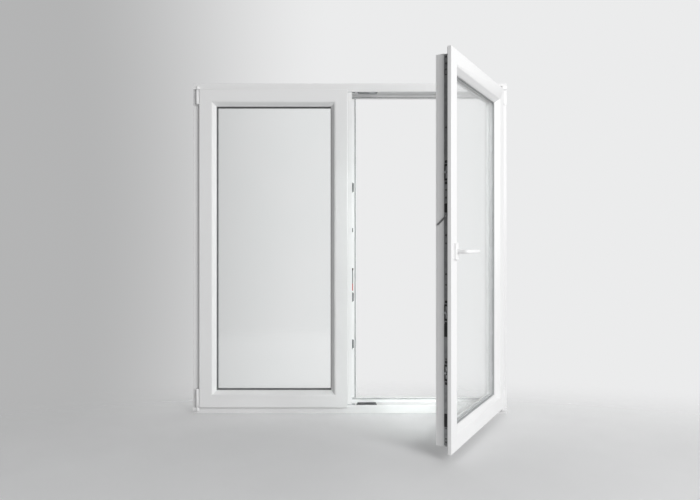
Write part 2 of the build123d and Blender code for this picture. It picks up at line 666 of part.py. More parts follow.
def make_passive_gear():
    """Gear case with its ears and pivot pin, and the two shoot bolts."""
    z = PASSIVE_LEVER_HEIGHT
    pivot_x = MULLION_FACE + 2.4
    deep = MULLION_FACE - FACEPLATE_THICKNESS - ROD_GROOVE_DEPTH
    d0, d1 = GROOVE_DEPTH - 5, GROOVE_DEPTH + 5
    case = block(deep + 0.2, MULLION_FACE - 0.2, d0, d1, z - 11.5, z + 11.5)
    ears = block(MULLION_FACE - 1, pivot_x + 3.5, d0, d1, z - 5, z + 5)
    gap_sides = (GROOVE_DEPTH - 3.2, GROOVE_DEPTH + 3.2)
    gap = block(pivot_x - 5.4, pivot_x + 6, *gap_sides, z - 12, z + 12)
    pin = through(pivot_x, z, d0, d1, 1.5)
    keep("passive_gear_case", case + ears - gap + pin)
    right = BOLT_LEFT + BOLT_SIZE
    top_bolt = block(BOLT_LEFT, right, d0, d1, z + 14, BOLT_REST_TOP)
    top_bolt = chamfer(top_bolt.faces().sort_by(Axis.Z)[-1].edges(), 1.5)
    keep("passive_top_bolt", top_bolt)
    bottom_bolt = block(BOLT_LEFT, right, d0, d1, BOLT_REST_BOTTOM, z - 40)
    bottom_bolt = chamfer(bottom_bolt.faces().sort_by(Axis.Z)[0].edges(), 1.5)
    keep("passive_bottom_bolt", bottom_bolt)


# ---- hinges ----
def ring_sleeve(x, z0, z1, inner, outer):
    """Upright tube round a hinge line."""
    return upright(x, HINGE_DEPTH, z0, z1, outer) - upright(x, HINGE_DEPTH, z0 - 1, z1 + 1, inner)


def make_bearings():
    """Corner and stay bearings on the frame: plate, cup and pin, at both jambs."""
    corners = []
    stays = []
    hole = PIN_RADIUS + PIN_CLEARANCE
    cup_top = SASH_BOTTOM - 0.5
    for side in (-1, 1):
        x = side * HINGE_X
        outer = side * (FRAME_WIDTH / 2 - 2)
        inner = side * (HINGE_X + COVER_RADIUS + 0.5)
        plate = block(inner, outer, -3, 0, cup_top - 15, CORNER_BARREL_TOP)
        foot = block(x, outer, HINGE_DEPTH - 6, 0, cup_top - 15, cup_top)
        cup = upright(x, HINGE_DEPTH, cup_top - 15, cup_top, COVER_RADIUS)
        corner = plate + foot + cup
        corners.append(corner - upright(x, HINGE_DEPTH, cup_top - 11, cup_top + 1, hole))
        plate = block(inner, outer, -3, 0, STAY_BARREL_BOTTOM, SASH_TOP + 15)
        foot = block(x, outer, HINGE_DEPTH - 6, 0, SASH_TOP + 0.5, SASH_TOP + 15)
        cup = upright(x, HINGE_DEPTH, SASH_TOP + 0.5, SASH_TOP + 15, COVER_RADIUS)
        pin = upright(x, HINGE_DEPTH, STAY_BARREL_BOTTOM + 12, SASH_TOP + 5, PIN_RADIUS)
        stays.append(plate + foot + cup + pin)
    keep("corner_bearings", *corners)
    keep("stay_bearings", *stays)


def make_passive_hinges():
    """Hinge barrels on the passive leaf's outer stile, with their covers."""
    x = -HINGE_X
    hole = PIN_RADIUS + PIN_CLEARANCE
    hinges = []
    covers = []
    pockets = []
    for z0, z1 in ((SASH_BOTTOM, CORNER_BARREL_TOP), (STAY_BARREL_BOTTOM, STAY_BARREL_TOP)):
        low, high = max(z0, SASH_BOTTOM + 6), min(z1, SASH_TOP - 6)
        barrel = upright(x, HINGE_DEPTH, z0, z1, BARREL_RADIUS)
        web = block(x, PASSIVE_LEFT + 2, HINGE_DEPTH - 2.5, HINGE_DEPTH + 2.5, low, high)
        leaf = block(PASSIVE_LEFT, PASSIVE_LEFT + 2, HINGE_DEPTH - 5, HINGE_DEPTH + 5, low, high)
        shape = barrel + web + leaf
        if z0 == SASH_BOTTOM:
            stub = upright(x, HINGE_DEPTH, z0 - 9, z0 + 2, PIN_RADIUS)
            shape = shape + stub
        else:
            shape = shape - upright(x, HINGE_DEPTH, z0 + 10, z1 + 1, hole)
        hinges.append(shape)
        inner = BARREL_RADIUS + COVER_CLEARANCE
        sleeve = ring_sleeve(x, low + 4, high, inner, COVER_RADIUS)
        slot = block(x, PASSIVE_LEFT + 5, HINGE_DEPTH - 2.7, HINGE_DEPTH + 2.7, low - 5, high + 5)
        covers.append(sleeve - slot)
        sides = (HINGE_DEPTH - 5, HINGE_DEPTH + 5)
        pockets.append(block(PASSIVE_LEFT - 1, PASSIVE_LEFT + 2, *sides, low, high))
    keep("passive_hinges", *hinges)
    keep("passive_hinge_covers", *covers)
    cut_node("passive_hinge_stile", *pockets)


def make_active_hinges():
    """Corner pivot with its cover, the sash's trunnion hinge, and the stay arm."""
    x = HINGE_X
    hole = PIN_RADIUS + PIN_CLEARANCE
    z = TILT_AXIS_HEIGHT
    barrel = upright(x, HINGE_DEPTH, SASH_BOTTOM, CORNER_BARREL_TOP, BARREL_RADIUS)
    stub = upright(x, HINGE_DEPTH, SASH_BOTTOM - 9, SASH_BOTTOM + 1, PIN_RADIUS)
    seat = crosswise(HINGE_DEPTH, z, x - 10, x + 4, hole)
    keep("corner_pivot", barrel + stub - seat)
    inner = BARREL_RADIUS + COVER_CLEARANCE
    keep("corner_pivot_cover", ring_sleeve(x, z + 6, CORNER_BARREL_TOP, inner, COVER_RADIUS))
    trunnion = crosswise(HINGE_DEPTH, z, ACTIVE_RIGHT - 2, x + 3.5, PIN_RADIUS)
    leaf_sides = (HINGE_DEPTH - 5, HINGE_DEPTH + 5, z - 5, z + 60)
    keep("active_corner_hinge", trunnion + block(ACTIVE_RIGHT - 2, ACTIVE_RIGHT, *leaf_sides))
    cut_node("active_hinge_stile", block(ACTIVE_RIGHT - 2, ACTIVE_RIGHT + 1, *leaf_sides))


def stay_levels():
    """Heights of the stay arm strip, in the air gap over the active leaf's top edge."""
    edge = SASH_TOP - OVERLAP
    return edge + 4, edge + 7


def make_stay_arm():
    """Stay arm over the leaf's top edge, its barrel on the hinge line, and the barrel's cover."""
    x = HINGE_X
    hole = PIN_RADIUS + PIN_CLEARANCE
    z0, z1 = stay_levels()
    end_x = x - STAY_ARM_LENGTH
    barrel = upright(x, HINGE_DEPTH, STAY_BARREL_BOTTOM, STAY_BARREL_TOP, BARREL_RADIUS)
    rebate_x = FRAME_WIDTH / 2 - REBATE_HEIGHT
    link = block(rebate_x - 10, x, LINK_DEPTH, LINK_FACE, z0 - 30, z1)
    lug = block(x - 6, x, LUG_DEPTH, LINK_FACE, z0 - 30, z1)
    step = block(rebate_x - 10, rebate_x - 3, LINK_DEPTH, GROOVE_DEPTH + 6, z0, z1)
    strip = block(end_x, rebate_x - 3, GROOVE_DEPTH - 6, GROOVE_DEPTH + 6, z0, z1)
    strip = fillet(strip.edges().filter_by(Axis.Z).group_by(Axis.X)[0], 5.0)
    foot_pin = upright(end_x + 8, GROOVE_DEPTH, z0 - 13, z0 + 1, PIN_RADIUS)
    arm = barrel + lug + link + step + strip + foot_pin
    arm = arm - upright(x, HINGE_DEPTH, STAY_BARREL_BOTTOM + 10, STAY_BARREL_TOP + 1, hole)
    keep("stay_arm", arm)
    inner = BARREL_RADIUS + COVER_CLEARANCE
    sleeve = ring_sleeve(x, STAY_BARREL_BOTTOM + 4, STAY_BARREL_TOP, inner, COVER_RADIUS)
    slot = block(x - 12, x, LUG_DEPTH - 0.3, 0, z0 - 32, z1 + 40)
    keep("stay_arm_cover", sleeve - slot)
    notch = block(rebate_x - 12, x, -6.5, 0, z0 - 32, SASH_TOP + 1)
    cut_node("active_gaskets", notch)


# ---- active leaf's gear ----
def involute_half_tooth(radius, base, lead):
    """Polar angle of an involute flank at a radius, measured from the tooth's middle."""
    swing = acos(base / radius)
    return lead - (tan(swing) - swing)


def pinion_sketch():
    base = GEAR_RADIUS * cos(radians(GEAR_PRESSURE_ANGLE))
    outer = GEAR_RADIUS + GEAR_ADDENDUM * GEAR_MODULE
    root = GEAR_RADIUS - 1.15 * GEAR_MODULE
    pitch_half = (pi * GEAR_MODULE / 2 - GEAR_BACKLASH) / 2 / GEAR_RADIUS
    swing = radians(GEAR_PRESSURE_ANGLE)
    lead = pitch_half + tan(swing) - swing
    radii = [base + (outer - base) * step / 5 for step in range(6)]
    half = [(root, lead)] + [(r, involute_half_tooth(r, base, lead)) for r in radii]
    points = []
    for tooth in range(GEAR_TEETH):
        middle = 2 * pi * tooth / GEAR_TEETH + pi
        rising = [(r, middle - angle) for r, angle in half]
        falling = [(r, middle + angle) for r, angle in reversed(half)]
        points += [(r * cos(a), r * sin(a)) for r, a in rising + falling]
    return make_face(Polyline(points, close=True))


def rack_teeth(z_low, z_high):
    """Rack along Z whose teeth point at the pinion, with a gap centred on the spindle's height."""
    pitch = pi * GEAR_MODULE
    high = RACK_PITCH_LINE + GEAR_ADDENDUM * GEAR_MODULE
    low = RACK_PITCH_LINE - 1.15 * GEAR_MODULE
    slope = tan(radians(GEAR_PRESSURE_ANGLE))
    half = (pitch / 2 - GEAR_BACKLASH) / 2
    wide = half + (RACK_PITCH_LINE - low) * slope
    narrow = half - (high - RACK_PITCH_LINE) * slope
    shapes = []
    count = int((z_high - z_low) / pitch / 2)
    for index in range(-count, count):
        z = HANDLE_HEIGHT + (index + 0.5) * pitch
        points = [(low, z - wide), (high, z - narrow), (high, z + narrow), (low, z + wide)]
        face = make_face(Polyline([(ACTIVE_LEFT + u, v) for u, v in points], close=True))
        tooth = extrude(Plane.XZ * face, amount=(ROD_WIDTH - 1) / 2, both=True)
        shapes.append(Pos(0, row_y(GROOVE_DEPTH), 0) * tooth)
    return shapes


def strip_rod(side, start, end):
    """Drive rod strip under the faceplate of one side, from start to end along that side."""
    low = GROOVE_FLOOR + SLIDE_CLEARANCE
    high = low + ROD_THICKNESS
    d0, d1 = GROOVE_DEPTH - ROD_WIDTH / 2, GROOVE_DEPTH + ROD_WIDTH / 2
    if side == "lock":
        return block(ACTIVE_LEFT + low, ACTIVE_LEFT + high, d0, d1, start, end)
    if side == "top":
        return block(start, end, d0, d1, SASH_TOP - high, SASH_TOP - low)
    return block(start, end, d0, d1, SASH_BOTTOM + low, SASH_BOTTOM + high)


def cam_slot(x, z, direction):
    """Slot in a faceplate along a cam's travel."""
    reach = CAM_TRAVEL + CAM_RADIUS + 2
    half = CAM_RADIUS + 0.5
    low, high = OVERLAP - 1, GROOVE_FLOOR + 1
    d0, d1 = GROOVE_DEPTH - half, GROOVE_DEPTH + half
    if direction == "x":
        return block(ACTIVE_LEFT + low, ACTIVE_LEFT + high, d0, d1, z - reach, z + reach)
    if direction == "top":
        return block(x - reach, x + reach, d0, d1, SASH_TOP - high, SASH_TOP - low)
    return block(x - reach, x + reach, d0, d1, SASH_BOTTOM + low, SASH_BOTTOM + high)


def make_drive_rods():
    """The three rods of the lock side, the top and the bottom, each with its cams."""
    corner = ROD_FLOOR + 30
    cams = [cam(0, z, "x") for z in CAM_HEIGHTS]
    rod = strip_rod("lock", SASH_BOTTOM + corner, SASH_TOP - corner)
    for shape in cams + rack_teeth(HANDLE_HEIGHT - 42, HANDLE_HEIGHT + 42):
        rod = rod + shape
    keep("lock_drive_rod", rod)
    top = strip_rod("top", ACTIVE_LEFT + corner, HINGE_X - STAY_ARM_LENGTH - 30)
    keep("top_drive_rod", top + cam(TOP_CAM_X, 0, "top"))
    bottom = strip_rod("bottom", ACTIVE_LEFT + corner, ACTIVE_RIGHT - 120)
    keep("bottom_drive_rod", bottom + cam(TILT_CAM_X, 0, "bottom"))


def make_faceplates():
    """Faceplates flush in the groove on the lock side, the top and the bottom."""
    half = FACEPLATE_WIDTH / 2 - 0.1
    d0, d1 = GROOVE_DEPTH - half, GROOVE_DEPTH + half
    low, high = OVERLAP, GROOVE_FLOOR
    inset = OVERLAP + 6
    lock_ends = (SASH_BOTTOM + inset, SASH_TOP - inset)
    lock = block(ACTIVE_LEFT + low, ACTIVE_LEFT + high, d0, d1, *lock_ends)
    for z in CAM_HEIGHTS:
        lock = lock - cam_slot(0, z, "x")
    left, right = ACTIVE_LEFT + inset, ACTIVE_RIGHT - inset - 14
    top = block(left, right, d0, d1, SASH_TOP - high, SASH_TOP - low)
    top = top - cam_slot(TOP_CAM_X, 0, "top")
    pin_x = HINGE_X - STAY_ARM_LENGTH + 8
    pin_slot = (pin_x - 5, pin_x + STAY_ARM_TRAVEL + 5, GROOVE_DEPTH - 5, GROOVE_DEPTH + 5)
    top = top - block(*pin_slot, SASH_TOP - high - 1, SASH_TOP - low + 1)
    bottom = block(left, right, d0, d1, SASH_BOTTOM + low, SASH_BOTTOM + high)
    bottom = bottom - cam_slot(TILT_CAM_X, 0, "bottom")
    keep("active_faceplates", lock, top, bottom)


def make_corner_drives():
    """Corner drive housings that carry the rods' spring band round the two lock-side corners."""
    low = GROOVE_FLOOR + SLIDE_CLEARANCE
    high = low + 5
    d0, d1 = GROOVE_DEPTH - 5, GROOVE_DEPTH + 5
    reach = ROD_FLOOR + 8
    near, far = ACTIVE_LEFT + low, ACTIVE_LEFT + high
    top_arm = block(near, ACTIVE_LEFT + reach, d0, d1, SASH_TOP - high, SASH_TOP - low)
    top_leg = block(near, far, d0, d1, SASH_TOP - reach, SASH_TOP - low)
    bottom_arm = block(near, ACTIVE_LEFT + reach, d0, d1, SASH_BOTTOM + low, SASH_BOTTOM + high)
    bottom_leg = block(near, far, d0, d1, SASH_BOTTOM + low, SASH_BOTTOM + reach)
    keep("corner_drives", top_arm + top_leg, bottom_arm + bottom_leg)


def make_gearbox():
    """Gear case in the lock stile, open towards the rod, and the pinion inside it."""
    z = HANDLE_HEIGHT
    inner_low = ROD_FLOOR - 0.3
    left = ACTIVE_LEFT + inner_low
    right = ACTIVE_LEFT + SPINDLE_INSET + GEAR_RADIUS + 3.2
    case = block(left, right, GROOVE_DEPTH - 7, GROOVE_DEPTH + 7, z - 40, z + 40)
    cavity = block(left - 1, right - 1.2, GROOVE_DEPTH - 5.3, GROOVE_DEPTH + 5.3, z - 15, z + 15)
    hole = through(SPINDLE_X, z, GROOVE_DEPTH - 9, GROOVE_DEPTH + 9, SPINDLE_SIDE * 0.78)
    keep("gearbox_case", case - cavity - hole)
    pinion = extrude(Plane.XZ * pinion_sketch(), amount=5, both=True)
    bore = Rot(90, 0, 0) * Box(SPINDLE_SIDE + 0.1, SPINDLE_SIDE + 0.1, 20)
    keep("drive_pinion", Pos(SPINDLE_X, row_y(GROOVE_DEPTH), z) * (pinion - bore))
    pocket = block(left - 2, right + 0.3, GROOVE_DEPTH - 7.3, GROOVE_DEPTH + 7.3, z - 41, z + 41)
    shaft = through(SPINDLE_X, z, SASH_ROOM - 1, GROOVE_DEPTH, SPINDLE_SIDE * 0.85)
    cut_node("active_lock_stile", pocket, shaft)
    cut_node("active_reinforcements", pocket, shaft)


def make_handle():
    """Rosette, spindle, and the lever handle in its turn position, pointing at the hinges."""
    x, z = SPINDLE_X, HANDLE_HEIGHT
    plate_face = SASH_ROOM - ROSETTE_THICKNESS
    rosette = block(
        x - ROSETTE_WIDTH / 2,
        x + ROSETTE_WIDTH / 2,
        plate_face,
        SASH_ROOM,
        z - ROSETTE_HEIGHT / 2,
        z + ROSETTE_HEIGHT / 2,
    )
    rosette = fillet(rosette.edges().filter_by(Axis.Y), 6.0)
    rosette = fillet(rosette.faces().sort_by(Axis.Y)[0].edges(), 3.0)
    bore = through(x, z, plate_face - 1, SASH_ROOM + 1, HANDLE_NECK_RADIUS + 0.3)
    keep("handle_rosette", rosette - bore)
    lever_front = SASH_ROOM - HANDLE_PROJECTION
    lever_back = lever_front + 15
    neck = through(x, z, lever_back - 4, SASH_ROOM - 1, HANDLE_NECK_RADIUS)
    low, high = z - HANDLE_GRIP / 2, z + HANDLE_GRIP / 2
    lever = block(x - HANDLE_NECK_RADIUS - 1, x + HANDLE_LENGTH, lever_front, lever_back, low, high)
    lever = fillet(lever.edges().filter_by(Axis.Y), HANDLE_GRIP / 2 - 1)
    lever = fillet(lever.faces().sort_by(Axis.Y)[0].edges(), 5.0)
    socket_depth = 32.0
    socket = Pos(x, row_y(SASH_ROOM - socket_depth / 2), z) * Box(SPINDLE_SIDE, socket_depth, SPINDLE_SIDE)
    keep("handle_lever", lever + neck - socket)
    start = SASH_ROOM - socket_depth + 0.2
    end = GROOVE_DEPTH + 5
    spindle = Box(SPINDLE_SIDE, end - start, SPINDLE_SIDE)
    keep("handle_spindle", Pos(x, row_y((start + end) / 2), z) * spindle)


def make_guard_lever():
    """Sprung lever on the lock edge that stops the handle while the leaf is open."""
    z = GUARD_LEVER_HEIGHT
    x0, x1 = ACTIVE_LEFT + OVERLAP - 3.2, ACTIVE_LEFT + OVERLAP - 0.4
    boss = crosswise(GROOVE_DEPTH, z, x0, x1, 5.5)
    arm = block(x0, x1, GROOVE_DEPTH - 3, GROOVE_DEPTH + 3, z - GUARD_LEVER_LENGTH, z)
    lever = fillet((boss + arm).edges().filter_by(Axis.X).group_by(Axis.Z)[0], 2.5)
    swing = Pos(0, row_y(GROOVE_DEPTH), z) * Rot(45, 0, 0) * Pos(0, -row_y(GROOVE_DEPTH), -z)
    keep("guard_lever", swing * lever)


# ---- the active leaf's rest place ----
ACTIVE_NODES = """active_top_rail active_bottom_rail active_lock_stile active_hinge_stile
active_reinforcements active_glass_panes active_glass_spacer active_glazing_beads active_gaskets
active_glazing_blocks active_faceplates active_corner_hinge corner_pivot corner_pivot_cover
stay_arm stay_arm_cover lock_drive_rod top_drive_rod bottom_drive_rod corner_drives gearbox_case
drive_pinion handle_rosette handle_lever handle_spindle guard_lever""".split()


def open_active_leaf():
    """Turns everything that hangs on the active leaf about the hinge line to its rest angle."""
    y = row_y(HINGE_DEPTH)
    swing = Pos(HINGE_X, y, 0) * Rot(0, 0, OPEN_ANGLE) * Pos(-HINGE_X, -y, 0)
    for name in ACTIVE_NODES:
        nodes[name] = [swing * solid for solid in nodes[name]]


def write_steps():
    for name, solids in nodes.items():
        shape = solids[0] if len(solids) == 1 else Compound(children=list(solids))
        export_step(shape, os.path.join("parts", name + ".step"))
        print(name, len(solids))


make_frame()
make_drain_caps()
make_frame_strikers()
make_bolt_keepers()
make_bearings()
make_sash("passive", PASSIVE_LEFT, PASSIVE_RIGHT, {"left": "hinge_stile", "right": "meeting_stile"})
make_passive_hinges()
make_mullion()
make_mullion_strikers()
make_passive_lever()
make_passive_gear()
make_sash("active", ACTIVE_LEFT, ACTIVE_RIGHT, {"left": "lock_stile", "right": "hinge_stile"})
make_active_hinges()
make_stay_arm()
make_drive_rods()
make_faceplates()
make_corner_drives()
make_gearbox()
make_handle()
make_guard_lever()
open_active_leaf()
write_steps()
print("nodes", len(nodes))
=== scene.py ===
"""Looks of the two-leaf uPVC tilt-and-turn window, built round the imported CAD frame.

Lengths are metres in the row frame: X to the right seen from the room, Y outwards, Z up.
The right leaf is open at rest, so its small pieces are placed on the closed leaf and then swung
with it about the hinge line.
"""
import json
import math

import bmesh
import bpy
from mathutils import Matrix, Vector


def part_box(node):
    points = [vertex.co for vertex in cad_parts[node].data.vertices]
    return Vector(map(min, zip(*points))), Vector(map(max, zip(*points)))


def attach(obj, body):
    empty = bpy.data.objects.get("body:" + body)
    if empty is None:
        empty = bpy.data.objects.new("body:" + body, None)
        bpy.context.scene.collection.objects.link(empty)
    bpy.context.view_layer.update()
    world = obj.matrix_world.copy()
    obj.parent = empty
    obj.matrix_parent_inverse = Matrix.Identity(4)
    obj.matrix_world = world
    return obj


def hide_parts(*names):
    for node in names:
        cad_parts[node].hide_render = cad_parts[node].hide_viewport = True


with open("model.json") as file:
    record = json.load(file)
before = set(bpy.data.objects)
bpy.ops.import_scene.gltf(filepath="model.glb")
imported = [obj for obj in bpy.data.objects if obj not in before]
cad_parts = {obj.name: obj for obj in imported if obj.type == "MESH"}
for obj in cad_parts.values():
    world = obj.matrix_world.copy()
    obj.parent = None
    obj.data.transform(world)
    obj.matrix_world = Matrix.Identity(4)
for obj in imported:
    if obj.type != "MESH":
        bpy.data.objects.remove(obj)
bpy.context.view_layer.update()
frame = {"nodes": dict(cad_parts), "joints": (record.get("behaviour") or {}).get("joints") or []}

# ---- driving dimensions: screws and edges ----
SCREW_RADIUS = 0.0034
SCREW_DOME = 0.0006
SCREW_SINK = 0.0004
RECESS_DEPTH = 0.0003
BEVEL = 0.0004
SOFT_BEVEL = 0.0008

# ---- driving dimensions: handle ----
LEVER_HEIGHT = 0.0152
LEVER_THICKNESS = 0.0130
NECK_RADIUS = 0.0082
BEND_RADIUS = 0.0150
BAR_SEGMENTS = 28
NECK_STEPS = 4
BEND_STEPS = 6
GRIP_STEPS = 12
END_STEPS = 5
END_CAP = 0.006
END_ROUNDING = math.radians(82)
COLLAR_SEGMENTS = 40

# ---- driving dimensions: places of the hardware details ----
PLATE_SCREW_HEIGHTS = (
    0.070, 0.083, 0.122, 0.324, 0.381, 0.660, 0.700,
    0.815, 0.846, 0.987, 1.016, 1.250, 1.490, 1.515,
)
END_INSETS = (0.030, 0.120, 0.420, 0.560)
CAM_HEIGHTS = (1.082, 0.556, 0.330)
CORNER_SCREW_HEIGHT = 1.458
LIFTER_HEIGHTS = (0.490, 0.152)
LIFTER_TEETH = 5
TOOTH_PITCH = 0.008
TOOTH_RISE = 0.0014
CLIP_OFFSET = 0.040
GUARD_PIVOT_INSET = 0.0055
HOUSING_RISE = 0.030
STRIKER_BASE = 0.0020
STRIKER_SCREW_OFFSET = 0.019
STRIKER_SCREW_INSET = 0.005
MULLION_SCREW_RADIUS = 0.0030
FRAME_SCREW_RADIUS = 0.0032
KEEPER_THICKNESS = 0.0020
KEEPER_SCREW_INSET = 0.007
KEEPER_SCREW_RADIUS = 0.0030
KEEPER_SCREW_SINK = 0.0003
REBATE_HEIGHT = 0.040
FIXING_HEIGHTS = (0.200, 0.590, 0.990, 1.380)
HINGE_X = 0.7275
HINGE_Y = -0.0445

# ---- driving dimensions: small plates, as width, height, thickness and corner radius ----
CAM_GUIDE = (0.0150, 0.0620, 0.0010, 0.003)
CAM_SLOT = (0.0084, 0.0480)
GUIDE_CLIP = (0.0090, 0.0100, 0.0014, 0.002)
CORNER_OVAL = (0.0120, 0.0240, 0.0008, 0.0058)
CORNER_SLOT = (0.0080, 0.0190)
LIFTER_PLATE = (0.0150, 0.0500, 0.0016, 0.003)
LIFTER_TOOTH = (0.0110, 0.0036, 0.0012, 0.0012)
SPRING_HOUSING = (0.0130, 0.0340, 0.0014, 0.003)
PLATE_RIM = 0.0006
CORNER_STEPS = 6

# ---- driving dimensions: stage, light and camera ----
FLOOR_RADIUS = 6.0
FLOOR_SEGMENTS = 96
FLOOR_DROP = 0.0005
KEY_PLACE = (2.9, -4.2, 2.3)
KEY_AIM = (0.1, 0.0, 0.8)
KEY_SIZE = 2.6
KEY_POWER = 172
CAMERA_DISTANCE = 2.8125
CAMERA_HEIGHT = 0.8205
CAMERA_LENS = 30.2
CAMERA_SHIFT = -0.0114

# ---- the open leaf ----
joints = {joint["name"]: joint for joint in frame["joints"]}
nodes = frame["nodes"]
hinge = Vector(joints["active_turn"]["pos_m"])
open_angle = -math.radians(joints["active_turn"]["range_deg"][0])
TO_REST = Matrix.Translation(hinge) @ Matrix.Rotation(open_angle, 4, "Z") @ Matrix.Translation(-hinge)
TO_CLOSED = TO_REST.inverted()


def closed_box(node):
    """Lowest and highest corner of a node of the open leaf, with the leaf closed."""
    points = [TO_CLOSED @ vertex.co for vertex in nodes[node].data.vertices]
    low = Vector([min(p[axis] for p in points) for axis in range(3)])
    high = Vector([max(p[axis] for p in points) for axis in range(3)])
    return low, high


# ---- node material helpers ----
def new_material(name):
    """Material with one Principled shader, with its node tree and that shader."""
    material = bpy.data.materials.new(name)
    material.use_nodes = True
    tree = material.node_tree
    tree.nodes.clear()
    shader = tree.nodes.new("ShaderNodeBsdfPrincipled")
    output = tree.nodes.new("ShaderNodeOutputMaterial")
    tree.links.new(shader.outputs["BSDF"], output.inputs["Surface"])
    return material, tree, shader


def row_coordinates(tree, stretch=(1, 1, 1), turn=0.0):
    """Object coordinates, stretched by a Mapping node after a turn about Z."""
    place = tree.nodes.new("ShaderNodeTexCoord")
    turned = tree.nodes.new("ShaderNodeVectorRotate")
    turned.rotation_type = "Z_AXIS"
    turned.inputs["Angle"].default_value = turn
    scaled = tree.nodes.new("ShaderNodeMapping")
    scaled.inputs["Scale"].default_value = stretch
    tree.links.new(place.outputs["Object"], turned.inputs["Vector"])
    tree.links.new(turned.outputs["Vector"], scaled.inputs["Vector"])
    return scaled.outputs["Vector"]


def noise(tree, where, scale, detail=3.0, roughness=0.5):
    """Noise value from 0 to 1."""
    node = tree.nodes.new("ShaderNodeTexNoise")
    node.inputs["Scale"].default_value = scale
    node.inputs["Detail"].default_value = detail
    node.inputs["Roughness"].default_value = roughness
    tree.links.new(where, node.inputs["Vector"])
    return node.outputs["Fac"]


def spread(tree, value, low, high):
    """A noise value's middle part mapped to the range from low to high."""
    node = tree.nodes.new("ShaderNodeMapRange")
    node.inputs["From Min"].default_value = 0.3
    node.inputs["From Max"].default_value = 0.7
    node.inputs["To Min"].default_value = low
    node.inputs["To Max"].default_value = high
    tree.links.new(value, node.inputs["Value"])
    return node.outputs["Result"]


def two_tone(tree, value, dark, light):
    """Colour between dark and light by a value."""
    ramp = tree.nodes.new("ShaderNodeValToRGB")
    ramp.color_ramp.elements[0].position = 0.32
    ramp.color_ramp.elements[1].position = 0.68
    ramp.color_ramp.elements[0].color = (*dark, 1)
    ramp.color_ramp.elements[1].color = (*light, 1)
    tree.links.new(value, ramp.inputs["Fac"])
    return ramp.outputs["Color"]


def bump(tree, shader, height, strength, distance):
    """Surface bump of a shader from a height value."""
    node = tree.nodes.new("ShaderNodeBump")
    node.inputs["Strength"].default_value = strength
    node.inputs["Distance"].default_value = distance
    tree.links.new(height, node.inputs["Height"])
    tree.links.new(node.outputs["Normal"], shader.inputs["Normal"])


# ---- materials ----
def upvc(name, along, turn=0.0):
    """Glossy white profile with the faint lines that extrusion leaves along it."""
    material, tree, shader = new_material(name)
    lengthwise = [220.0, 220.0, 220.0]
    lengthwise[along] = 1.5
    lines = noise(tree, row_coordinates(tree, lengthwise, turn), 1.0, 2.0)
    cloud = noise(tree, row_coordinates(tree), 2.5, 3.0, 0.5)
    tone = two_tone(tree, cloud, (0.832, 0.832, 0.832), (0.846, 0.846, 0.846))
    tree.links.new(tone, shader.inputs["Base Color"])
    tree.links.new(spread(tree, lines, 0.29, 0.36), shader.inputs["Roughness"])
    shader.inputs["IOR"].default_value = 1.48
    bump(tree, shader, lines, 0.10, 0.0001)
    return material


def moulded(name, dark, light, rough_low, rough_high, grain=900.0, coat=0.0):
    """Moulded plastic or lacquered metal with a fine grain."""
    material, tree, shader = new_material(name)
    where = row_coordinates(tree)
    cloud = noise(tree, where, 35.0, 4.0, 0.6)
    fine = noise(tree, where, grain, 2.0)
    tree.links.new(two_tone(tree, cloud, dark, light), shader.inputs["Base Color"])
    tree.links.new(spread(tree, fine, rough_low, rough_high), shader.inputs["Roughness"])
    shader.inputs["Coat Weight"].default_value = coat
    shader.inputs["Coat Roughness"].default_value = 0.12
    bump(tree, shader, fine, 0.08, 0.0003)
    return material


def metal(name, dark, light, rough_low, rough_high, along, turn=0.0, brush=700.0):
    """Coated metal, brushed or rolled along one axis."""
    material, tree, shader = new_material(name)
    lengthwise = [brush, brush, brush]
    lengthwise[along] = brush / 60
    brushed = noise(tree, row_coordinates(tree, lengthwise, turn), 1.0, 3.0)
    cloud = noise(tree, row_coordinates(tree), 28.0, 5.0, 0.65)
    tree.links.new(two_tone(tree, cloud, dark, light), shader.inputs["Base Color"])
    tree.links.new(spread(tree, brushed, rough_low, rough_high), shader.inputs["Roughness"])
    shader.inputs["Metallic"].default_value = 0.92
    bump(tree, shader, brushed, 0.15, 0.0002)
    return material


def zinc(name):
    """Galvanised steel with its spangle of crystals."""
    material, tree, shader = new_material(name)
    cells = tree.nodes.new("ShaderNodeTexVoronoi")
    cells.inputs["Scale"].default_value = 160.0
    tree.links.new(row_coordinates(tree), cells.inputs["Vector"])
    grey = tree.nodes.new("ShaderNodeSeparateColor")
    tree.links.new(cells.outputs["Color"], grey.inputs["Color"])
    tone = two_tone(tree, grey.outputs["Red"], (0.44, 0.45, 0.47), (0.62, 0.63, 0.65))
    tree.links.new(tone, shader.inputs["Base Color"])
    tree.links.new(spread(tree, grey.outputs["Green"], 0.32, 0.55), shader.inputs["Roughness"])
    shader.inputs["Metallic"].default_value = 0.9
    return material


def rubber(name, dark, light):
    """Matt gasket rubber with a little bloom."""
    material, tree, shader = new_material(name)
    where = row_coordinates(tree)
    bloom = noise(tree, where, 60.0, 5.0, 0.7)
    tree.links.new(two_tone(tree, bloom, dark, light), shader.inputs["Base Color"])
    tree.links.new(spread(tree, bloom, 0.55, 0.75), shader.inputs["Roughness"])
    bump(tree, shader, noise(tree, where, 1400.0, 2.0), 0.15, 0.0002)
    return material


